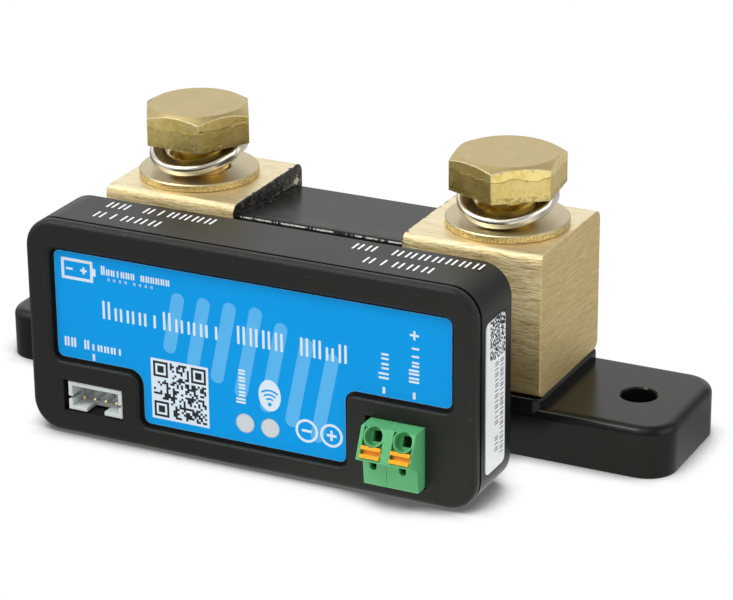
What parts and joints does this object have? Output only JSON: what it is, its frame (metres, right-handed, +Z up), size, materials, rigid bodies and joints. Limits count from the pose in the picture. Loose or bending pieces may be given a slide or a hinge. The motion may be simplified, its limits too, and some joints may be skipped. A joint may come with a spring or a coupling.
{
  "type": "battery monitor shunt",
  "caption": "High-current shunt with two stud blocks on an insulating base and a labelled monitor housing with a data header and spring terminal in front.",
  "frame": {"origin": "centre of the base's underside, midway between the two mounting holes", "axes": "+X along the shunt from the system-side block to the battery-side block, -Y towards the labelled front, +Z up"},
  "size_m": [0.1208, 0.0534, 0.0463],
  "materials": {
    "base_plastic": "satin moulded",
    "block_brass": "sawn and brushed",
    "manganin": "rolled",
    "cover_plastic": "gloss",
    "zinc_steel": "zinc plated",
    "turned_brass": "turned",
    "housing_plastic": "fine grain",
    "black_screw": "black oxide",
    "label_blue": "printed polyester",
    "label_white": "printed polyester",
    "board_green": "solder mask",
    "header_white": "nylon",
    "contact_metal": "gold flash",
    "terminal_green": "polyamide",
    "spring_steel": "spring strip",
    "shield_metal": "tinned",
    "chip_black": "moulded epoxy",
    "ferrite": "pressed ferrite",
    "capacitor_yellow": "moulded",
    "lamp": "clear resin",
    "light_guide": "diffusing",
    "bolt_brass": "machined",
    "washer_brass": "stamped",
    "nickel": "bright nickel",
    "lever_orange": "moulded"
  },
  "bodies": {
    "shunt": {"base": "base_plastic", "left_block": "block_brass", "right_block": "block_brass", "lower_strip": "manganin", "middle_strip": "manganin", "upper_strip": "manganin", "resistor_cover": "cover_plastic", "left_block_screws": "zinc_steel", "right_block_screws": "zinc_steel", "left_sense_spacer": "turned_brass", "right_sense_spacer": "turned_brass", "left_sense_screw": "zinc_steel", "right_sense_screw": "zinc_steel", "rear_shell": "housing_plastic", "front_cover": "housing_plastic", "cover_screws": "black_screw", "front_label": "label_blue", "side_label": "label_white", "circuit_board": "board_green", "header_body": "header_white", "header_pins": "contact_metal", "terminal_body": "terminal_green", "aux_clamp": "spring_steel", "battery_clamp": "spring_steel", "terminal_pins": "contact_metal", "radio_module": "shield_metal", "microcontroller": "chip_black", "amplifier": "chip_black", "inductor": "ferrite", "capacitor": "capacitor_yellow", "warning_lamp": "lamp", "link_lamp": "lamp", "light_guides": "light_guide"},
    "left_washers": {"left_flat_washer": "washer_brass", "left_spring_washer": "nickel"},
    "left_stud": {"left_bolt": "bolt_brass"},
    "right_washers": {"right_flat_washer": "washer_brass", "right_spring_washer": "nickel"},
    "right_stud": {"right_bolt": "bolt_brass"},
    "aux_push": {"aux_lever": "lever_orange"},
    "battery_push": {"battery_lever": "lever_orange"}
  },
  "joints": [
    {"name": "left_lift", "type": "slide", "parent": "shunt", "child": "left_washers", "axis": [0, 0, 1], "range_m": [0, 0.015]},
    {"name": "left_turn", "type": "hinge", "parent": "left_washers", "child": "left_stud", "pos_m": [-0.028, 0, 0.036], "axis": [0, 0, 1], "range_deg": [0, 3240]},
    {"name": "right_lift", "type": "slide", "parent": "shunt", "child": "right_washers", "axis": [0, 0, 1], "range_m": [0, 0.015]},
    {"name": "right_turn", "type": "hinge", "parent": "right_washers", "child": "right_stud", "pos_m": [0.028, 0, 0.036], "axis": [0, 0, 1], "range_deg": [0, 3240]},
    {"name": "aux_press", "type": "slide", "parent": "shunt", "child": "aux_push", "axis": [0, 0.9091, -0.4167], "range_m": [0, 0.0012], "deforming": ["aux_clamp"]},
    {"name": "battery_press", "type": "slide", "parent": "shunt", "child": "battery_push", "axis": [0, 0.9091, -0.4167], "range_m": [0, 0.0012], "deforming": ["battery_clamp"]}
  ],
  "couplings": [
    {"joint": "left_lift", "follows": "left_turn", "m_per_rad": 0.00023873},
    {"joint": "right_lift", "follows": "right_turn", "m_per_rad": 0.00023873}
  ]
}
